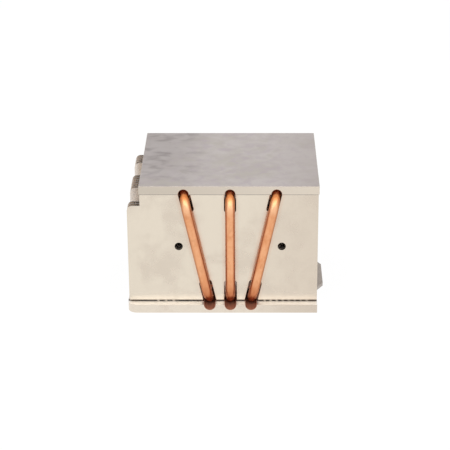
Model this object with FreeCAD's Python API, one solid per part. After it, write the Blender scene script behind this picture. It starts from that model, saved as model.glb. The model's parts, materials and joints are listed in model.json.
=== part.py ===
import FreeCAD, Part
import math
import os

# Passive heatsink for a server processor, in millimetres.
#
# Upright sheet-metal fins stand between a thick base plate and a thick top plate. Three heat pipes
# lie half sunk in both plates, and bend up in front of the first fin to carry heat to the top plate.
# X runs along the fins, Y goes from the front fin to the back, and Z is up. The origin is the middle
# of the processor's contact face, under the middle heat pipe and half way through the fin stack.

Vector = FreeCAD.Vector
ALONG_X = Vector(1, 0, 0)
ALONG_Y = Vector(0, 1, 0)
ALONG_Z = Vector(0, 0, 1)

# Heights
base_thickness = 5.5
fin_height = 71.5
top_thickness = 5.2

# Fin stack
fin_count = 26
fin_pitch = 3.65
fin_thickness = 0.5
flange_gap = 0.15          # between a flange's edge and the next fin
bend_radius = 0.4          # outside of a fin's fold
front_slit = 0.6           # the front fin's lower edge stands this far above the base plate
end_margin = 0.6           # plate left behind the last flange
edge_break = 0.3

# Widths, measured from the middle heat pipe
plate_width = 110.0
plate_offset = -0.6        # middle of the top plate
fin_inset = 0.5            # plate edge to fin edge, each side
ear_reach = 7.9            # wide fins stand out this far on the left
ear_groups = ((0, 3), (8, 7), (20, 5))   # first fin and number of fins that have an ear
shoulder_drop = 7.5        # fin top to the top of an ear
shoulder_radius = 3.2

# Alignment holes through every fin
hole_radius = 2.5
hole_spacing = 63.4
hole_height = 37.1         # above the base plate

# Heat pipes
pipe_radius = 3.0
pipe_bend_radius = 12.0
pipe_standoff = 0.3        # front fin to the upright run
bottom_pipe_spacing = 12.8
top_pipe_spacing = 28.4
pipe_end_inset = 1.0       # plate's back edge to the pipe's sealed end
tip_taper = 4.0
tip_length = 2.0
tip_radius = 1.4

# Solder and running gaps round the pipes
base_groove_gap = 0.5
top_groove_gap = 0.2
fin_pipe_gap = 0.2

# Slots in the first fins, where the pipes bend through them
slot_corner_radius = 1.5
top_slot_side_gap = 0.72
top_slot_end_gap = 2.2
top_slot_inset = 0.45      # slots of the leaning pipes stand this much nearer the middle
bottom_slot_side_gap = 1.05
bottom_slot_end_gap = 4.4

# Base plate
lip = 5.8                  # stands out in front of the front fin
ledge = 0.7                # stands out beyond the ears
corner_radius = 5.8        # front left corner

# Retention tab on the right of the base plate
tab_thickness = 2.2
tab_reach = 5.2
tab_tip_length = 28.5
tab_root_length = 46.0

# Flat sides that stand for a round: few on the fins inside the stack, more where they are seen
pipe_sides = 20
pipe_bend_steps = 6
inner_hole_sides = 8
outer_hole_sides = 14
inner_fold_sides = 1
outer_fold_sides = 3
shoulder_sides = 4
slot_corner_sides = 2
plate_corner_sides = 5
inner_notch_sides = 3
outer_notch_sides = 6

# Worked out from the sizes above
plate_depth = fin_count * fin_pitch + end_margin
front = -plate_depth / 2
back = plate_depth / 2
fin_bottom = base_thickness
fin_top = fin_bottom + fin_height
total_height = fin_top + top_thickness
plate_left = plate_offset - plate_width / 2
plate_right = plate_offset + plate_width / 2
fin_left = plate_left + fin_inset
fin_right = plate_right - fin_inset
ear_left = fin_left - ear_reach
shoulder = fin_top - shoulder_drop
flange_reach = fin_pitch - flange_gap
pipe_front = front - pipe_standoff - pipe_radius      # axis of the upright runs
bend_middle = pipe_front + pipe_bend_radius           # where the bends end and the level runs start
pipe_end = back - pipe_end_inset
overrun = 5.0              # cutters run past what they cut by this much


def prism(points, direction):
    """Solid made by pushing a closed outline of corner points along a direction."""
    return Part.Face(closed_wire(points)).extrude(direction)


def closed_wire(points):
    return Part.makePolygon(points + points[:1])


def arc(centre_u, centre_v, radius, start, stop, sides):
    """Points (u, v) on an arc, ends included; the angles are in degrees."""
    points = []
    for step in range(sides + 1):
        angle = math.radians(start + (stop - start) * step / sides)
        points.append((centre_u + radius * math.cos(angle), centre_v + radius * math.sin(angle)))
    return points


def box(x0, x1, y0, y1, z0, z1):
    return Part.makeBox(x1 - x0, y1 - y0, z1 - z0, Vector(x0, y0, z0))


def pipe_places():
    """Name, bottom X and top X of each heat pipe, from left to right."""
    names = ("left", "middle", "right")
    return [(name, side * bottom_pipe_spacing, side * top_pipe_spacing)
            for name, side in zip(names, (-1, 0, 1))]


def pipe_lean(bottom_x, top_x):
    """Angle by which a pipe's upright run leans from vertical."""
    return math.atan2(top_x - bottom_x, fin_height)


def ring(centre, radius, normal):
    """Closed many-sided wire about a centre, square to a direction in the plane of Y and Z."""
    outward = ALONG_X.cross(normal)
    corners = arc(0, 0, radius, 0, 360, pipe_sides)[:-1]
    return closed_wire([centre + ALONG_X * u + outward * v for u, v in corners])


def heat_pipe(bottom_x, top_x):
    """C-shaped pipe: level run, bend, upright run, bend, level run, with both ends sealed.

    It is drawn upright about the bottom run's axis, and then leaned over as a whole.
    """
    lean = pipe_lean(bottom_x, top_x)
    rise = fin_height / math.cos(lean)
    r = pipe_bend_radius
    run_end = pipe_end - tip_taper - tip_length
    half_step = 45 / pipe_bend_steps
    corner_radius = r / math.cos(math.radians(half_step))
    low_bend = arc(bend_middle, r, corner_radius, 270 - half_step, 180 + half_step,
                   pipe_bend_steps - 1)
    high_bend = [(y, rise - z) for y, z in reversed(low_bend)]
    path = [(run_end, 0)] + low_bend + high_bend + [(run_end, rise)]
    spine = Part.makePolygon([Vector(0, y, z) for y, z in path])
    section = ring(Vector(0, run_end, 0), pipe_radius, ALONG_Y)
    right_corners = 1
    pipe = spine.makePipeShell([section], True, False, right_corners)
    pipe = pipe.multiFuse([sealed_tip(run_end, z) for z in (0, rise)])
    pipe.rotate(Vector(0, 0, 0), ALONG_Y, math.degrees(lean))
    pipe.translate(Vector(bottom_x, 0, fin_bottom))
    return pipe.removeSplitter()


def sealed_tip(y, z):
    """Swaged end of a pipe: a taper down to a short stub."""
    sections = [(0, pipe_radius), (tip_taper, tip_radius), (tip_taper + tip_length, tip_radius)]
    rings = [ring(Vector(0, y + reach, z), radius, ALONG_Y) for reach, radius in sections]
    solid, ruled = True, True
    return Part.makeLoft(rings, solid, ruled)


def grooved(plate, run_places, face_z, radius):
    """Plate with a round-bottomed groove from front to back under or over each pipe's level run."""
    start = front - lip - overrun
    length = back + overrun - start
    return plate.cut([Part.makeCylinder(radius, length, Vector(x, start, face_z), ALONG_Y)
                      for x in run_places])


def top_plate():
    plate = box(plate_left, plate_right, front, back, fin_top, total_height)
    rim = [edge for edge in plate.Edges if edge.CenterOfMass.z > total_height - edge_break]
    plate = plate.makeChamfer(edge_break, rim)
    places = [top_x for name, bottom_x, top_x in pipe_places()]
    return grooved(plate, places, fin_top, pipe_radius + top_groove_gap)


def base_plate():
    """Thick plate with a lip in front, a rounded corner and a thin retention tab on the right."""
    base_left = ear_left - ledge
    base_front = front - lip
    corner = arc(base_left + corner_radius, base_front + corner_radius, corner_radius,
                 180, 270, plate_corner_sides)
    outline = corner + [(fin_right, base_front), (fin_right, back), (base_left, back)]
    plate = prism([Vector(x, y, 0) for x, y in outline], ALONG_Z * base_thickness)
    tab_outline = [
        Vector(fin_right, -tab_root_length / 2, 0),
        Vector(fin_right + tab_reach, -tab_tip_length / 2, 0),
        Vector(fin_right + tab_reach, tab_tip_length / 2, 0),
        Vector(fin_right, tab_root_length / 2, 0),
    ]
    tab = prism(tab_outline, ALONG_Z * tab_thickness)
    places = [bottom_x for name, bottom_x, top_x in pipe_places()]
    plate = grooved(plate, places, base_thickness, pipe_radius + base_groove_gap)
    return plate.fuse(tab).removeSplitter()


def has_ear(index):
    return any(first <= index < first + count for first, count in ear_groups)


def folded_sheet(left, y, fold_sides, has_foot):
    """Upright sheet with a flange folded back along its top, and along its bottom if it has a foot."""
    inner_y = y + fin_thickness
    tip_y = y + flange_reach
    if has_foot:
        low_end = arc(y + bend_radius, fin_bottom + bend_radius, bend_radius, 180, 270, fold_sides)
        low_end += [
            (tip_y, fin_bottom),
            (tip_y, fin_bottom + fin_thickness),
            (inner_y, fin_bottom + fin_thickness),
        ]
    else:
        low_end = [(y, fin_bottom + front_slit), (inner_y, fin_bottom + front_slit)]
    high_end = [
        (inner_y, fin_top - fin_thickness),
        (tip_y, fin_top - fin_thickness),
        (tip_y, fin_top),
    ]
    high_end += arc(y + bend_radius, fin_top - bend_radius, bend_radius, 90, 180, fold_sides)
    section = [Vector(left, v, w) for v, w in low_end + high_end]
    return prism(section, ALONG_X * (fin_right - left))


def through_fin(outline, y):
    """Cutter of a given outline (x, z) that goes right through the fin whose front is at y."""
    return prism([Vector(x, y - overrun, z) for x, z in outline],
                 ALONG_Y * (flange_reach + 2 * overrun))


def above_ear(y):
    """Cutter that leaves a wide sheet its ear, with a rounded shoulder on the left."""
    corner = arc(ear_left + shoulder_radius, shoulder - shoulder_radius, shoulder_radius,
                 90, 180, shoulder_sides)
    outline = [(fin_left, shoulder)] + corner + [
        (ear_left - overrun, shoulder - shoulder_radius),
        (ear_left - overrun, fin_top + overrun),
        (fin_left, fin_top + overrun),
    ]
    return through_fin(outline, y)


def hole_cutter(x, y, sides):
    """Many-sided cutter for an alignment hole, of the hole's own width across its flats."""
    corner_radius = hole_radius / math.cos(math.pi / sides)
    corners = arc(x, fin_bottom + hole_height, corner_radius, 180 / sides, 360 + 180 / sides, sides)
    return through_fin(corners[:-1], y)


def notch(sides):
    """Outline that clears a level run: straight, and half round over the pipe.

    The flat sides of its half round, and not their corners, clear the pipe by the gap.
    """
    half = (pipe_radius + fin_pipe_gap) / math.cos(math.pi / (2 * sides))
    return [(-half, -overrun), (half, -overrun)] + arc(0, 0, half, 0, 180, sides)


def slot(side_gap, end_gap):
    """Outline that clears a bend where it comes out of the front fin, with rounded corners."""
    half = pipe_radius + side_gap
    inside_bend = pipe_bend_radius - pipe_radius
    bend_depth = pipe_bend_radius - math.sqrt(inside_bend ** 2 - (bend_middle - front) ** 2)
    depth = bend_depth + end_gap
    r = slot_corner_radius
    outline = [(-half, -overrun), (half, -overrun)]
    outline += arc(half - r, depth - r, r, 0, 90, slot_corner_sides)
    outline += arc(r - half, depth - r, r, 90, 180, slot_corner_sides)
    return outline


def pipe_cutters(y, notch_sides):
    """Cutters for all pipes in one fin, along its bottom and along its top."""
    cutters = []
    in_bend = y < bend_middle
    for name, bottom_x, top_x in pipe_places():
        lean = inset = 0
        low = high = notch(notch_sides)
        if in_bend:
            lean = math.degrees(pipe_lean(bottom_x, top_x))
            inset = math.copysign(top_slot_inset, lean) if lean else 0
            low = slot(bottom_slot_side_gap, bottom_slot_end_gap)
            high = slot(top_slot_side_gap, top_slot_end_gap)
        low_cutter = through_fin(low, y)
        low_cutter.rotate(Vector(0, 0, 0), ALONG_Y, lean)
        low_cutter.translate(Vector(bottom_x, 0, fin_bottom))
        high_cutter = through_fin(high, y)
        high_cutter.rotate(Vector(0, 0, 0), ALONG_Y, lean + 180)
        high_cutter.translate(Vector(top_x - inset, 0, fin_top))
        cutters += [low_cutter, high_cutter]
    return cutters


def fin(index):
    y = front + index * fin_pitch
    is_front = index == 0
    seen = is_front or index == fin_count - 1
    fold_sides = outer_fold_sides if seen else inner_fold_sides
    hole_sides = outer_hole_sides if seen else inner_hole_sides
    notch_sides = outer_notch_sides if seen else inner_notch_sides
    cutters = [hole_cutter(side * hole_spacing / 2, y, hole_sides) for side in (-1, 1)]
    cutters += pipe_cutters(y, notch_sides)
    left = fin_left
    if has_ear(index):
        left = ear_left
        cutters.append(above_ear(y))
    return folded_sheet(left, y, fold_sides, has_foot=not is_front).cut(cutters)


def save(name, shape):
    if len(shape.Solids) != 1:
        raise ValueError(f"{name} is {len(shape.Solids)} solids")
    shape.Solids[0].exportStep(f"parts/{name}.step")


os.makedirs("parts", exist_ok=True)
save("base_plate", base_plate())
save("top_plate", top_plate())
for name, bottom_x, top_x in pipe_places():
    save(f"heat_pipe_{name}", heat_pipe(bottom_x, top_x))
for index in range(fin_count):
    save(f"fin_{index + 1:02d}", fin(index))
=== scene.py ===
import json
import math

import bpy
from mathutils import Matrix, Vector


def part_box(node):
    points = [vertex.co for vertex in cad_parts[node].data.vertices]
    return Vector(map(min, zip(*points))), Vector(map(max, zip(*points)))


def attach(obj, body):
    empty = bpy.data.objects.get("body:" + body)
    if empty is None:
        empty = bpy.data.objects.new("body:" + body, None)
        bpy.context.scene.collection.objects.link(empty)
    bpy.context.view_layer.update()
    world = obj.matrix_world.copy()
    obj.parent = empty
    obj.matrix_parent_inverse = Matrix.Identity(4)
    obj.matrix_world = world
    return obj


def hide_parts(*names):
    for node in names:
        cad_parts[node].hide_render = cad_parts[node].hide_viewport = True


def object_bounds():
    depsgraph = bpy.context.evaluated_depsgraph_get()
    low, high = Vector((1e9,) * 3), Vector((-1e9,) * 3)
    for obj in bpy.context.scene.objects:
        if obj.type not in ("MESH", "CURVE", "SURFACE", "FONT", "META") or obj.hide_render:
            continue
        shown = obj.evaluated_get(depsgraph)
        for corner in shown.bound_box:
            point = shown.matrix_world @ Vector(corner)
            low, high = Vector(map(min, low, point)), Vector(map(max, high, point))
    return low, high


# Passive server heatsink: finishes, smooth heat pipes and solder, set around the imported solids.
# Lengths are in metres; X runs along the fins, -Y is the front and Z is up.

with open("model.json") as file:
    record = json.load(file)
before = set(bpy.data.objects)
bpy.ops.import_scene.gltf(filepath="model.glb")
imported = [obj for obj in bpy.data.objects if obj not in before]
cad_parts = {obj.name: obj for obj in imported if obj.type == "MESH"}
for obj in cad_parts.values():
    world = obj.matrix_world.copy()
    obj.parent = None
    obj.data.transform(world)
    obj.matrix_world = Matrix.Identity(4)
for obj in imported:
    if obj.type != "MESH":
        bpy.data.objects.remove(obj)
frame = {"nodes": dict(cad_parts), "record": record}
cad_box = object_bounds()
MM = 0.001

# Places taken from the solids
base_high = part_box("base_plate")[1]
top_low, top_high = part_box("top_plate")
first_low, first_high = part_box("fin_01")
middle_low, middle_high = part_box("heat_pipe_middle")
right_low, right_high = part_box("heat_pipe_right")

# Heat pipes; the outer two lean from the inner place at the base to the outer one at the top
PIPE_RADIUS = (middle_high.x - middle_low.x) / 2
PIPE_BEND_RADIUS = 12 * MM
PIPE_BEND_STEPS = 20
PIPE_SIDES = 40
INNER_PIPE_X = right_low.x + PIPE_RADIUS
OUTER_PIPE_X = right_high.x - PIPE_RADIUS
BASE_GROOVE_RADIUS = PIPE_RADIUS + 0.5 * MM
TOP_GROOVE_RADIUS = PIPE_RADIUS + 0.2 * MM
SLOTTED_DEPTH = 9 * MM          # the fins this far back have slots for the bends

# Sealed ends of the heat pipes
TIP_RADIUS = 1.4 * MM
TIP_END_RADIUS = 0.6 * TIP_RADIUS
TIP_ROUNDING = 0.4 * MM
TIP_LENGTH = 2 * MM
TIP_TAPER = 4 * MM
TIP_TAPER_STEPS = 8

# Solder in the slit: name, X of the first bead, spacing and number of beads
SOLDER_ROWS = (
    ("solder_left", -45.0 * MM, 4.8 * MM, 3),
    ("solder_right", 21.4 * MM, 3.75 * MM, 8),
)
SOLDER_INSET = 0.3 * MM

# Camera, as far from the object as its perspective asks
CAMERA_PLACE = (0.0109, -0.93815, 0.4388)
CAMERA_TILT = math.radians(66.76)
CAMERA_LENS = 126.7
CAMERA_SENSOR = 36.0
CAMERA_SHIFT_X = -0.0510
CAMERA_SHIFT_Y = 0.0016

# Studio
WHITE = (1.0, 1.0, 1.0, 1.0)
SURROUND_LEVEL = 0.74
LAMP_PLACE = (0.0, -0.9, 0.975)
LAMP_SIZE = (2.6, 0.75)
LAMP_WATTS = 11.0
FLOOR_HALF = 4.0
FLOOR_GREY = (0.85, 0.85, 0.85, 1.0)
FLOOR_ROUGHNESS = 0.8
FLOOR_WHITE_LEVEL = 1.04
FLOOR_WHITE_SHARE = 0.9         # the rest of what is seen directly keeps the object's shadow


# ---------------------------------------------------------------- colours

def colour(red, green, blue):
    """Linear colour from the 0 to 255 values of a colour chart."""
    def linear(value):
        value /= 255
        return value / 12.92 if value <= 0.04045 else ((value + 0.055) / 1.055) ** 2.4
    return (linear(red), linear(green), linear(blue), 1.0)


FIN_PLATING = colour(228, 217, 200)
FIN_PATCHES = colour(219, 207, 191)
# painted shade: the fins darker towards their right end
FIN_RIGHT_SHADE = colour(211, 197, 181)
# painted shade in the crease where the fins meet the base
FIN_FOOT_SHADE = colour(120, 108, 98)
# painted light: the fins behind the front one lifted paler, against their shade
FIN_INNER_PAINTED_LIGHT = colour(237, 227, 217)
# painted shade on the upward faces of the fin shoulders
FIN_SHOULDER_SHADE = colour(144, 140, 140)
# painted reflection of the copper pipes on the fins next to them
FIN_COPPER_REFLECTION = colour(216, 138, 88)

BASE_PLATING = colour(230, 219, 204)
BASE_PATCHES = colour(223, 210, 195)
# painted shade: the base darker towards its right end
BASE_RIGHT_SHADE = colour(213, 200, 185)
# painted light on the upward faces of the base
BASE_LEDGE_LIGHT = colour(241, 238, 234)
# painted shade on the base under the front fin, in the slit
BASE_SLIT_SHADE = colour(108, 97, 86)
# darker band on the ledge just in front of the front fin, right half
BASE_DARK_BAND = colour(118, 106, 94)
BASE_TAB = colour(172, 163, 155)
# painted reflection of the copper pipe inside the base grooves
BASE_GROOVE_REFLECTION = colour(176, 118, 94)

# painted shade: the flat top of the upper plate greyer than its sides
TOP_SHADED_GREY = colour(191, 183, 180)
TOP_PATCHES = colour(185, 178, 171)
TOP_MAUVE = colour(183, 173, 174)
# painted shade: the top plate darker towards its right end
TOP_RIGHT_SHADE = colour(176, 167, 163)
TOP_DULL = colour(170, 162, 160)
TOP_WIPES = colour(144, 136, 134)
# painted highlight along the top's front edge, broken up like wear
TOP_EDGE_WEAR_AND_GLINT = colour(226, 218, 208)
TOP_RIM_RIGHT = colour(222, 211, 196)
TOP_RIM_LEFT = colour(208, 198, 184)
TOP_RIM_CORNER = colour(178, 168, 158)
# painted reflection of the copper pipe inside the top grooves
TOP_GROOVE_REFLECTION = colour(158, 92, 58)

COPPER = colour(241, 177, 132)
COPPER_PATCHES = colour(232, 162, 115)
COPPER_TARNISH = colour(204, 132, 86)
# painted highlight on the pipes' upper bends
COPPER_PAINTED_HIGHLIGHT = colour(245, 190, 147)
# painted shade on the sides of the pipes
COPPER_SIDE_SHADE = colour(205, 134, 92)
# painted shade on the pipes near the base and under the top plate
COPPER_FOOT_SHADE = colour(180, 92, 48)
COPPER_HEAD_SHADE = colour(194, 108, 36)

SOLDER = colour(226, 216, 200)
SOLDER_PATCHES = colour(196, 184, 168)


# ---------------------------------------------------------------- node helpers

def add(tree, kind, inputs=None, **settings):
    """New node; an input is given a value, or linked where a socket is given."""
    node = tree.nodes.new(kind)
    for name, value in settings.items():
        setattr(node, name, value)
    for name, value in (inputs or {}).items():
        if isinstance(value, bpy.types.NodeSocket):
            tree.links.new(value, node.inputs[name])
        else:
            node.inputs[name].default_value = value
    return node


def calculate(tree, operation, first, second=0.0, third=0.0):
    node = add(tree, "ShaderNodeMath", {0: first, 1: second, 2: third}, operation=operation)
    return node.outputs[0]


def product(tree, first, *others):
    for other in others:
        first = calculate(tree, "MULTIPLY", first, other)
    return first


def fade(tree, value, start, end):
    """0 below start and 1 above end, smoothly; the other way round where start is above end."""
    node = add(tree, "ShaderNodeMapRange",
               {"Value": value, "From Min": start, "From Max": end},
               interpolation_type="SMOOTHSTEP")
    return node.outputs["Result"]


def tint(tree, under, over, mask, strength=1.0):
    """One colour with another laid over it where the mask is."""
    if strength != 1.0:
        mask = product(tree, mask, strength)
    node = add(tree, "ShaderNodeMix", {0: mask, 6: under, 7: over}, data_type="RGBA")
    return node.outputs[2]


def noise(tree, where, scale, detail, distortion=0.0):
    node = add(tree, "ShaderNodeTexNoise",
               {"Vector": where, "Scale": scale, "Detail": detail, "Distortion": distortion})
    return node.outputs["Fac"]


def stretched(tree, where, factors, turn=0.0):
    """Coordinates scaled by the factors and turned about Z."""
    node = add(tree, "ShaderNodeMapping",
               {"Vector": where, "Rotation": (0.0, 0.0, turn), "Scale": factors})
    return node.outputs["Vector"]


def axes(tree, vector):
    """The X, Y and Z of a vector."""
    return add(tree, "ShaderNodeSeparateXYZ", {"Vector": vector}).outputs


def facing(tree):
    """The X, Y and Z of the direction that a surface faces."""
    return axes(tree, add(tree, "ShaderNodeNewGeometry").outputs["Normal"])


def new_group(name, kind, inputs, outputs):
    """Node group with named sockets; an input is (name, type, default)."""
    tree = bpy.data.node_groups.new(name, kind)
    for socket, socket_type, default in inputs:
        made = tree.interface.new_socket(socket, in_out="INPUT", socket_type=socket_type)
        if default is not None:
            made.default_value = default
    for socket, socket_type in outputs:
        tree.interface.new_socket(socket, in_out="OUTPUT", socket_type=socket_type)
    return tree, tree.nodes.new("NodeGroupInput"), tree.nodes.new("NodeGroupOutput")


# ---------------------------------------------------------------- shared effects

def cloudy_film_group():
    """Soft uneven patches, as a thin plating or handling leaves them."""
    tree, given, result = new_group(
        "cloudy_film", "ShaderNodeTree",
        [("Where", "NodeSocketVector", None),
         ("Patches per metre", "NodeSocketFloat", 60.0),
         ("Bare share", "NodeSocketFloat", 0.5)],
        [("Mask", "NodeSocketFloat")])
    where = given.outputs["Where"]
    patches = given.outputs["Patches per metre"]
    bare_share = given.outputs["Bare share"]
    broad = noise(tree, where, patches, detail=2.0, distortion=0.6)
    finer_patches = product(tree, patches, 3.7)
    finer = noise(tree, where, finer_patches, detail=4.0, distortion=0.3)
    swing = calculate(tree, "MULTIPLY_ADD", finer, 0.4, -0.2)
    both = calculate(tree, "ADD", broad, swing)
    edge_start = calculate(tree, "SUBTRACT", bare_share, 0.14)
    edge_end = calculate(tree, "ADD", bare_share, 0.22)
    tree.links.new(fade(tree, both, edge_start, edge_end), result.inputs["Mask"])
    return tree


def rolled_grain_group():
    """Fine lines along the sheet from rolling, with a slight waviness under them."""
    tree, given, result = new_group(
        "rolled_grain", "ShaderNodeTree",
        [("Where", "NodeSocketVector", None),
         ("Lines per metre", "NodeSocketFloat", 2500.0)],
        [("Height", "NodeSocketFloat")])
    where = given.outputs["Where"]
    along = stretched(tree, where, (0.03, 1.0, 1.0))
    lines = noise(tree, along, given.outputs["Lines per metre"], detail=2.0)
    waves = noise(tree, where, 45.0, detail=1.0)
    height = calculate(tree, "MULTIPLY_ADD", waves, 6.0, lines)
    tree.links.new(height, result.inputs["Height"])
    return tree


CLOUDY_FILM = cloudy_film_group()
ROLLED_GRAIN = rolled_grain_group()


def cloudy_film(tree, where, patches, bare_share=0.5):
    """Mask of soft patches, so many to a metre."""
    node = add(tree, "ShaderNodeGroup",
               {"Where": where, "Patches per metre": patches, "Bare share": bare_share},
               node_tree=CLOUDY_FILM)
    return node.outputs["Mask"]


def rolled_grain(tree, where, lines):
    """Height of the rolled surface, with so many lines to a metre."""
    node = add(tree, "ShaderNodeGroup", {"Where": where, "Lines per metre": lines},
               node_tree=ROLLED_GRAIN)
    return node.outputs["Height"]


# ---------------------------------------------------------------- materials

def new_material(name, metallic=1.0):
    """Material with its own tree, its shader and the object's coordinates."""
    material = bpy.data.materials.new(name)
    material.use_nodes = True
    tree = material.node_tree
    shader = tree.nodes["Principled BSDF"]
    shader.inputs["Metallic"].default_value = metallic
    where = add(tree, "ShaderNodeTexCoord").outputs["Object"]
    return material, tree, shader, where


def roughen(tree, shader, mask, smooth, rough):
    """Roughness from smooth at 0 to rough at 1, and further where the mask passes 1."""
    node = add(tree, "ShaderNodeMapRange", {"Value": mask, "To Min": smooth, "To Max": rough},
               clamp=False)
    tree.links.new(node.outputs["Result"], shader.inputs["Roughness"])


def bump(tree, shader, height, strength, distance=0.02 * MM):
    node = add(tree, "ShaderNodeBump",
               {"Height": height, "Strength": strength, "Distance": distance})
    tree.links.new(node.outputs["Normal"], shader.inputs["Normal"])


def beside_pipes(tree, x, z):
    """1 next to the three heat pipes."""
    leaning = add(tree, "ShaderNodeMapRange",
                  {"Value": z, "From Min": base_high.z, "From Max": top_low.z,
                   "To Min": INNER_PIPE_X, "To Max": OUTER_PIPE_X})
    from_middle = calculate(tree, "ABSOLUTE", x)
    from_outer = calculate(tree, "SUBTRACT", from_middle, leaning.outputs["Result"])
    nearest = calculate(tree, "MINIMUM", from_middle, calculate(tree, "ABSOLUTE", from_outer))
    return fade(tree, nearest, PIPE_RADIUS + 3 * MM, PIPE_RADIUS + 1 * MM)


def copper_reflecting_grooves(tree, x, z, spacing, level, radius):
    """1 inside a plate's three round grooves, where a painted copper reflection lies on the
    metal.
    """
    half = spacing / 2
    across = calculate(tree, "WRAP", x, half, -half)
    below = calculate(tree, "SUBTRACT", z, level)
    squares = calculate(tree, "ADD", calculate(tree, "POWER", across, 2.0),
                        calculate(tree, "POWER", below, 2.0))
    distance = calculate(tree, "SQRT", squares)
    inside = fade(tree, distance, radius + 0.25 * MM, radius + 0.05 * MM)
    within_three = calculate(tree, "LESS_THAN", calculate(tree, "ABSOLUTE", x), 3 * half)
    return product(tree, inside, within_three)


def colour_plate(tree, shader, tone, groove_reflection, reflection_colour):
    """Gives a plate its tone, with a painted copper reflection in the grooves that covers most of
    the bare metal.
    """
    tree.links.new(tint(tree, tone, reflection_colour, groove_reflection), shader.inputs["Base Color"])
    bare_metal = calculate(tree, "MULTIPLY_ADD", groove_reflection, -0.8, 1.0)
    tree.links.new(bare_metal, shader.inputs["Metallic"])


def fin_sheet_material():
    """Thin sheet with a warm, glossy plating and faint cloudy patches."""
    material, tree, shader, where = new_material("plated_fin_sheet", metallic=0.92)
    x, y, z = axes(tree, where)
    clouds = cloudy_film(tree, where, patches=42.0, bare_share=0.52)
    tone = tint(tree, FIN_PLATING, FIN_PATCHES, clouds)
    # painted shade: the fins grow darker towards their right end
    tone = tint(tree, tone, FIN_RIGHT_SHADE, fade(tree, x, 0.0, first_high.x), strength=0.6)
    # painted shade: a dark line along the crease at the foot of the fins
    crease_shade = fade(tree, z, first_low.z + 0.8 * MM, first_low.z + 0.2 * MM)
    tone = tint(tree, tone, FIN_FOOT_SHADE, crease_shade, strength=0.55)
    inner = fade(tree, y, first_low.y + 1.0 * MM, first_low.y + 2.0 * MM)
    # painted light: the fins behind the front one are made paler to offset the shade they sit in
    tone = tint(tree, tone, FIN_INNER_PAINTED_LIGHT, inner)
    # painted shade: the upward faces of the fins above the base are made darker and greyer,
    # standing in for the shade between the fins
    upward = fade(tree, facing(tree)["Z"], 0.1, 0.5)
    high = fade(tree, z, base_high.z + 5 * MM, base_high.z + 10 * MM)
    tone = tint(tree, tone, FIN_SHOULDER_SHADE, product(tree, upward, high))
    # painted reflection: a copper tint on the fins beside the pipes, faint on the front fin and
    # strong on the slotted fins behind it
    slotted_end = first_low.y + SLOTTED_DEPTH
    slotted = fade(tree, y, slotted_end + 0.5 * MM, slotted_end)
    share = calculate(tree, "MULTIPLY_ADD", inner, 0.7, 0.12)
    copper_reflection = product(tree, share, beside_pipes(tree, x, z), slotted)
    tone = tint(tree, tone, FIN_COPPER_REFLECTION, copper_reflection)
    tree.links.new(tone, shader.inputs["Base Color"])
    foot = fade(tree, z, first_low.z + 7 * MM, first_low.z + 1 * MM)
    roughen(tree, shader, calculate(tree, "MULTIPLY_ADD", foot, 1.5, clouds), 0.2, 0.3)
    bump(tree, shader, rolled_grain(tree, where, lines=2500.0), strength=0.08)
    return material


def base_plate_material():
    """Thick plated plate, with painted shade in the slit under the front fin and a darker band in
    front of the slit on the right half.
    """
    material, tree, shader, where = new_material("plated_base")
    x, y, z = axes(tree, where)
    clouds = cloudy_film(tree, where, patches=70.0, bare_share=0.55)
    tone = tint(tree, BASE_PLATING, BASE_PATCHES, clouds)
    to_right = fade(tree, x, 0.0, first_high.x)
    # painted shade: the base grows darker towards its right end
    tone = tint(tree, tone, BASE_RIGHT_SHADE, to_right)
    on_ledge = fade(tree, facing(tree)["Z"], 0.5, 0.9)
    # painted light: the upward faces of the base, the ledge, are made paler and cooler than the
    # plating
    tone = tint(tree, tone, BASE_LEDGE_LIGHT, on_ledge)
    # painted shade: the upward faces of the base under the front fin, inside the slit, are made
    # dark
    behind_slit = fade(tree, y, first_low.y - 0.2 * MM, first_low.y + 0.4 * MM)
    near_slit = fade(tree, y, first_low.y + 4.0 * MM, first_low.y + 2.0 * MM)
    tone = tint(tree, tone, BASE_SLIT_SHADE, product(tree, on_ledge, behind_slit, near_slit))
    # the ledge is darker in a thin band just in front of the front fin, on its right half
    before_slit = fade(tree, y, first_low.y - 1.2 * MM, first_low.y - 0.5 * MM)
    dark_band = product(tree, on_ledge, before_slit, to_right)
    tone = tint(tree, tone, BASE_DARK_BAND, dark_band, strength=0.8)
    on_tab = fade(tree, x, first_high.x, first_high.x + 0.2 * MM)
    tone = tint(tree, tone, BASE_TAB, on_tab)
    # painted reflection: the grooves are tinted copper-brown and made less metallic, standing in
    # for the pipe seen in them
    groove_reflection = copper_reflecting_grooves(tree, x, z, INNER_PIPE_X, base_high.z, BASE_GROOVE_RADIUS)
    colour_plate(tree, shader, tone, groove_reflection, BASE_GROOVE_REFLECTION)
    dullness = calculate(tree, "MULTIPLY_ADD", on_ledge, 2.5, clouds)
    roughen(tree, shader, calculate(tree, "MAXIMUM", dullness, groove_reflection), 0.2, 0.3)
    bump(tree, shader, rolled_grain(tree, where, lines=1500.0), strength=0.03)
    return material


def dull_corner(tree, where, x, y):
    """Mask over the left back of the top plate, with a wavering edge."""
    wander = noise(tree, where, 40.0, detail=4.0, distortion=0.5)
    left = fade(tree, calculate(tree, "MULTIPLY_ADD", wander, 60 * MM, x), 28 * MM, -12 * MM)
    back = fade(tree, y, top_low.y, top_low.y + 45 * MM)
    return product(tree, left, calculate(tree, "MULTIPLY_ADD", back, 0.7, 0.3), 0.85)


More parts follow.
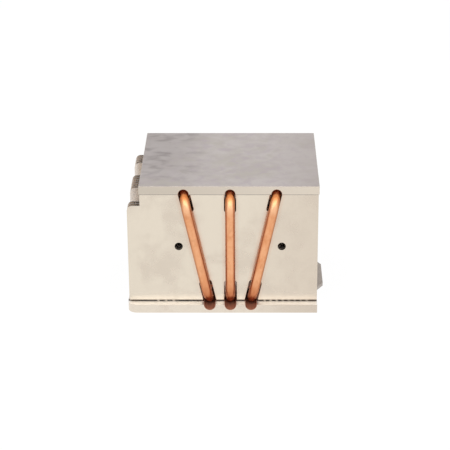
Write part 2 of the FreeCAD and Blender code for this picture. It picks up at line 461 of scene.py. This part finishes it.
def top_plate_material():
    """Upper plate: greyer on its flat top as painted shade, with faint mauve stains and a dull,
    wiped corner.
    """
    material, tree, shader, where = new_material("stained_top_plate")
    x, y, z = axes(tree, where)
    upward = facing(tree)["Z"]
    broad = cloudy_film(tree, where, patches=42.0)
    # painted shade: the flat top starts from a darker grey than the plate's sides
    tone = tint(tree, TOP_SHADED_GREY, TOP_PATCHES, broad)
    small = cloudy_film(tree, where, patches=150.0, bare_share=0.52)
    tone = tint(tree, tone, TOP_MAUVE, small)
    to_right = fade(tree, x, 15 * MM, top_high.x)
    # painted shade: the top grows darker towards its right end
    tone = tint(tree, tone, TOP_RIGHT_SHADE, to_right, strength=0.6)
    dull = dull_corner(tree, where, x, y)
    tone = tint(tree, tone, TOP_DULL, dull)
    wiped = stretched(tree, where, (0.6, 1.0, 1.0), turn=math.radians(-35))
    wipes = fade(tree, noise(tree, wiped, 150.0, detail=4.0, distortion=0.3), 0.46, 0.72)
    tone = tint(tree, tone, TOP_WIPES, product(tree, wipes, dull))
    # painted highlight and wear: a pale, broken line along the front edge of the top
    at_front = fade(tree, y, top_low.y + 1.0 * MM, top_low.y + 0.4 * MM)
    chips = fade(tree, noise(tree, where, 420.0, detail=2.0), 0.5, 0.6)
    tone = tint(tree, tone, TOP_EDGE_WEAR_AND_GLINT, product(tree, at_front, chips), strength=0.8)
    rim = tint(tree, TOP_RIM_RIGHT, TOP_RIM_LEFT, fade(tree, x, top_high.x, top_low.x))
    rim = tint(tree, rim, TOP_RIM_CORNER, fade(tree, upward, 0.3, 0.6))
    tone = tint(tree, rim, tone, fade(tree, upward, 0.75, 0.95))
    # painted reflection: the grooves are tinted copper-brown and made less metallic, standing in
    # for the pipe seen in them
    groove_reflection = copper_reflecting_grooves(tree, x, z, OUTER_PIPE_X, top_low.z, TOP_GROOVE_RADIUS)
    colour_plate(tree, shader, tone, groove_reflection, TOP_GROOVE_REFLECTION)
    roughen(tree, shader, broad, 0.38, 0.5)
    bump(tree, shader, rolled_grain(tree, where, lines=1500.0), strength=0.2)
    return material


def heat_pipe_material():
    """Drawn copper: bright along the middle, with painted shade on its sides and near the base
    and the top plate, and a painted highlight on the upper bends.
    """
    material, tree, shader, where = new_material("drawn_copper")
    _, y, z = axes(tree, where)
    clouds = cloudy_film(tree, where, patches=140.0)
    tone = tint(tree, COPPER, COPPER_PATCHES, clouds)
    long_patches = stretched(tree, where, (1.0, 1.0, 0.5))
    tarnish = fade(tree, noise(tree, long_patches, 420.0, detail=4.0, distortion=0.4), 0.48, 0.66)
    tone = tint(tree, tone, COPPER_TARNISH, tarnish, strength=0.3)
    # painted highlight: a paler band on the upper bends, below the top plate
    highlight_band = product(tree, fade(tree, z, top_low.z - 13 * MM, top_low.z - 7 * MM),
                        fade(tree, z, top_low.z - 1 * MM, top_low.z - 5 * MM))
    tone = tint(tree, tone, COPPER_PAINTED_HIGHLIGHT, highlight_band)
    # painted shade: the pipes darker where their surface faces sideways
    sideways = calculate(tree, "ABSOLUTE", facing(tree)["X"])
    tone = tint(tree, tone, COPPER_SIDE_SHADE, fade(tree, sideways, 0.35, 1.0))
    # painted shade: the pipes darker towards the base
    foot_shade = fade(tree, z, base_high.z + 19 * MM, base_high.z + 3 * MM)
    tone = tint(tree, tone, COPPER_FOOT_SHADE, foot_shade, strength=0.75)
    # painted shade: the pipes darker just below and into the top plate
    head_shade = fade(tree, z, top_low.z - 9 * MM, top_low.z + 1 * MM)
    before_groove = fade(tree, y, top_low.y + 2.0 * MM, top_low.y - 0.5 * MM)
    tone = tint(tree, tone, COPPER_HEAD_SHADE, product(tree, head_shade, before_groove), strength=0.7)
    tree.links.new(tone, shader.inputs["Base Color"])
    roughen(tree, shader, clouds, 0.3, 0.4)
    drawn_lines = stretched(tree, where, (1.0, 1.0, 0.05))
    bump(tree, shader, noise(tree, drawn_lines, 2600.0, detail=2.0), strength=0.15)
    return material


def solder_material():
    """Dull bright solder, slightly uneven."""
    material, tree, shader, where = new_material("solder")
    clouds = cloudy_film(tree, where, patches=600.0)
    tree.links.new(tint(tree, SOLDER, SOLDER_PATCHES, clouds), shader.inputs["Base Color"])
    roughen(tree, shader, clouds, 0.3, 0.5)
    bump(tree, shader, clouds, strength=0.3, distance=0.05 * MM)
    return material


FINISHES = {
    "fin_sheet": fin_sheet_material(),
    "base_plate": base_plate_material(),
    "top_plate": top_plate_material(),
    "heat_pipe": heat_pipe_material(),
}


def finish_solids():
    """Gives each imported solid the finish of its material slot."""
    slots = {part["node"]: part["material_slot"] for part in frame["record"]["subparts"]}
    for name, node in frame["nodes"].items():
        for index in range(len(node.material_slots)):
            node.material_slots[index].material = FINISHES[slots[name]]


# ---------------------------------------------------------------- geometry helpers

def real_and_painted(tree, geometry, material, output):
    """Ends a Geometry Nodes tree: smooth, made real and given its material."""
    smooth = add(tree, "GeometryNodeSetShadeSmooth", {"Geometry": geometry})
    real = add(tree, "GeometryNodeRealizeInstances", {"Geometry": smooth.outputs["Geometry"]})
    painted = add(tree, "GeometryNodeSetMaterial",
                  {"Geometry": real.outputs["Geometry"], "Material": material})
    tree.links.new(painted.outputs["Geometry"], output)


def set_inputs(modifier, values):
    """Sets a Geometry Nodes modifier's inputs by their socket identifiers."""
    for item in modifier.node_group.interface.items_tree:
        if item.item_type == "SOCKET" and item.in_out == "INPUT" and item.name in values:
            modifier[item.identifier] = values[item.name]


def make_plain(source, name, group, values, material):
    """Evaluates a Geometry Nodes tree on an object and keeps the result as a plain mesh."""
    modifier = source.modifiers.new("build", "NODES")
    modifier.node_group = group
    set_inputs(modifier, values)
    bpy.context.view_layer.update()
    evaluated = source.evaluated_get(bpy.context.evaluated_depsgraph_get())
    mesh = bpy.data.meshes.new_from_object(evaluated)
    bpy.data.objects.remove(source)
    mesh.name = name
    if not mesh.materials:
        mesh.materials.append(material)
    piece = bpy.data.objects.new(name, mesh)
    bpy.context.scene.collection.objects.link(piece)
    return piece


# ---------------------------------------------------------------- heat pipes

def tube_nodes(material):
    """Round tube along a curve, as thick at each point as the curve's own radius."""
    tree, given, result = new_group(
        "round_tube", "GeometryNodeTree",
        [("Path", "NodeSocketGeometry", None),
         ("Sides", "NodeSocketInt", PIPE_SIDES)],
        [("Tube", "NodeSocketGeometry")])
    section = add(tree, "GeometryNodeCurvePrimitiveCircle",
                  {"Resolution": given.outputs["Sides"], "Radius": 1.0})
    tube = add(tree, "GeometryNodeCurveToMesh",
               {"Curve": given.outputs["Path"], "Profile Curve": section.outputs["Curve"],
                "Scale": add(tree, "GeometryNodeInputRadius").outputs["Radius"],
                "Fill Caps": True})
    real_and_painted(tree, tube.outputs["Mesh"], material, result.inputs["Tube"])
    return tree


def pipe_path(bottom_x, top_x, tip_y, front_y, low_z, high_z):
    """Points and radii along a pipe: sealed tip, level run, bend, upright run, and back."""
    lean = math.atan2(top_x - bottom_x, high_z - low_z)
    rise = math.hypot(top_x - bottom_x, high_z - low_z)
    bend_y = front_y + PIPE_BEND_RADIUS
    half = [(tip_y, 0.0, TIP_END_RADIUS),
            (tip_y - TIP_ROUNDING, 0.0, TIP_RADIUS),
            (tip_y - TIP_LENGTH, 0.0, TIP_RADIUS)]
    for step in range(1, TIP_TAPER_STEPS + 1):
        share = step / TIP_TAPER_STEPS
        swell = (1 - math.cos(math.pi * share)) / 2
        radius = TIP_RADIUS + (PIPE_RADIUS - TIP_RADIUS) * swell
        half.append((tip_y - TIP_LENGTH - TIP_TAPER * share, 0.0, radius))
    for step in range(PIPE_BEND_STEPS + 1):
        angle = math.pi / 2 * step / PIPE_BEND_STEPS
        half.append((bend_y - PIPE_BEND_RADIUS * math.sin(angle),
                     PIPE_BEND_RADIUS * (1 - math.cos(angle)), PIPE_RADIUS))
    other = [(y, rise - z, radius) for y, z, radius in reversed(half)]
    return [(Vector((bottom_x + z * math.sin(lean), y, low_z + z * math.cos(lean))), radius)
            for y, z, radius in half + other]


def heat_pipe(side, name, group, material):
    """Smooth pipe in place of a many-sided solid; side is -1, 0 or 1 from left to right."""
    points = pipe_path(side * INNER_PIPE_X, side * OUTER_PIPE_X, middle_high.y,
                       middle_low.y + PIPE_RADIUS, base_high.z, top_low.z)
    curve = bpy.data.curves.new(name + "_path", "CURVE")
    curve.dimensions = "3D"
    spline = curve.splines.new("POLY")
    spline.points.add(len(points) - 1)
    for point, (place, radius) in zip(spline.points, points):
        point.co = (*place, 1.0)
        point.radius = radius
    source = bpy.data.objects.new(name + "_path", curve)
    bpy.context.scene.collection.objects.link(source)
    piece = make_plain(source, "copper_" + name, group, {"Sides": PIPE_SIDES}, material)
    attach(piece, "root")
    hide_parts(name)


def heat_pipes():
    material = FINISHES["heat_pipe"]
    group = tube_nodes(material)
    for side, name in ((-1, "left"), (0, "middle"), (1, "right")):
        heat_pipe(side, "heat_pipe_" + name, group, material)


# ---------------------------------------------------------------- solder

def solder_nodes(material):
    """Row of small flattened beads of uneven size, as solder leaves along a joint."""
    tree, given, result = new_group(
        "solder_beads", "GeometryNodeTree",
        [("Geometry", "NodeSocketGeometry", None),
         ("Start", "NodeSocketVector", None),
         ("Spacing", "NodeSocketFloat", 3.7 * MM),
         ("Beads", "NodeSocketInt", 8),
         ("Bead length", "NodeSocketFloat", 0.8 * MM),
         ("Bead height", "NodeSocketFloat", 0.3 * MM),
         ("Shortest", "NodeSocketFloat", 0.6),
         ("Longest", "NodeSocketFloat", 1.3),
         ("Seed", "NodeSocketInt", 3)],
        [("Solder", "NodeSocketGeometry")])
    step = add(tree, "ShaderNodeCombineXYZ", {"X": given.outputs["Spacing"]})
    row = add(tree, "GeometryNodeMeshLine",
              {"Count": given.outputs["Beads"], "Start Location": given.outputs["Start"],
               "Offset": step.outputs["Vector"]})
    bead = add(tree, "GeometryNodeMeshIcoSphere", {"Radius": 1.0, "Subdivisions": 3})
    uneven = add(tree, "FunctionNodeRandomValue",
                 {2: given.outputs["Shortest"], 3: given.outputs["Longest"],
                  "Seed": given.outputs["Seed"]})
    length = product(tree, uneven.outputs[1], given.outputs["Bead length"])
    height = given.outputs["Bead height"]
    size = add(tree, "ShaderNodeCombineXYZ", {"X": length, "Y": height, "Z": height})
    beads = add(tree, "GeometryNodeInstanceOnPoints",
                {"Points": row.outputs["Mesh"], "Instance": bead.outputs["Mesh"],
                 "Scale": size.outputs["Vector"]})
    real_and_painted(tree, beads.outputs["Instances"], material, result.inputs["Solder"])
    return tree


def solder_beads():
    """Beads in the slit between the front fin and the base plate."""
    material = solder_material()
    group = solder_nodes(material)
    slit = first_low.z - base_high.z
    for name, start_x, spacing, count in SOLDER_ROWS:
        source = bpy.data.objects.new(name + "_row", bpy.data.meshes.new(name + "_row"))
        bpy.context.scene.collection.objects.link(source)
        start = (start_x, first_low.y + SOLDER_INSET, base_high.z + slit / 2)
        piece = make_plain(source, name, group,
                           {"Start": start, "Spacing": spacing, "Beads": count}, material)
        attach(piece, "root")


# ---------------------------------------------------------------- studio

def seen_directly(tree):
    """1 where a camera, mirror or glass ray looks, so that it sees a plain white surround."""
    rays = add(tree, "ShaderNodeLightPath").outputs
    seen = calculate(tree, "MAXIMUM", rays["Is Camera Ray"], rays["Is Glossy Ray"])
    return calculate(tree, "MAXIMUM", seen, rays["Is Transmission Ray"])


def white_surround():
    world = bpy.data.worlds.new("soft_studio")
    bpy.context.scene.world = world
    world.use_nodes = True
    tree = world.node_tree
    background = tree.nodes["Background"]
    background.inputs["Color"].default_value = WHITE
    level = add(tree, "ShaderNodeMapRange",
                {"Value": seen_directly(tree), "To Min": SURROUND_LEVEL})
    tree.links.new(level.outputs["Result"], background.inputs["Strength"])


def floor():
    mesh = bpy.data.meshes.new("studio_floor")
    corners = [(x * FLOOR_HALF, y * FLOOR_HALF, 0.0)
               for x, y in ((-1, -1), (1, -1), (1, 1), (-1, 1))]
    mesh.from_pydata(corners, [], [(0, 1, 2, 3)])
    plane = bpy.data.objects.new("studio_floor", mesh)
    bpy.context.scene.collection.objects.link(plane)
    material = bpy.data.materials.new("white_floor")
    material.use_nodes = True
    tree = material.node_tree
    shader = tree.nodes["Principled BSDF"]
    shader.inputs["Base Color"].default_value = FLOOR_GREY
    shader.inputs["Roughness"].default_value = FLOOR_ROUGHNESS
    shader.inputs["Specular IOR Level"].default_value = 0.0
    white = add(tree, "ShaderNodeEmission", {"Color": WHITE, "Strength": FLOOR_WHITE_LEVEL})
    share = product(tree, seen_directly(tree), FLOOR_WHITE_SHARE)
    blend = add(tree, "ShaderNodeMixShader",
                {0: share, 1: shader.outputs[0], 2: white.outputs[0]})
    tree.links.new(blend.outputs[0], tree.nodes["Material Output"].inputs["Surface"])
    mesh.materials.append(material)


def softbox():
    """Wide lamp in front and above that faces the object's middle."""
    data = bpy.data.lights.new("front_softbox", "AREA")
    data.shape = "RECTANGLE"
    data.size, data.size_y = LAMP_SIZE
    data.energy = LAMP_WATTS
    lamp = bpy.data.objects.new("front_softbox", data)
    bpy.context.scene.collection.objects.link(lamp)
    lamp.location = LAMP_PLACE
    middle = (Vector(cad_box[0]) + Vector(cad_box[1])) / 2
    lamp.rotation_euler = (middle - Vector(LAMP_PLACE)).to_track_quat("-Z", "Y").to_euler()


def camera():
    data = bpy.data.cameras.new("camera")
    data.lens = CAMERA_LENS
    data.sensor_width = CAMERA_SENSOR
    data.shift_x = CAMERA_SHIFT_X
    data.shift_y = CAMERA_SHIFT_Y
    eye = bpy.data.objects.new("camera", data)
    bpy.context.scene.collection.objects.link(eye)
    eye.location = CAMERA_PLACE
    eye.rotation_euler = (CAMERA_TILT, 0.0, 0.0)
    bpy.context.scene.camera = eye


def studio():
    bpy.context.scene.view_settings.view_transform = "Standard"
    camera()
    white_surround()
    floor()
    softbox()


finish_solids()
heat_pipes()
solder_beads()
studio()
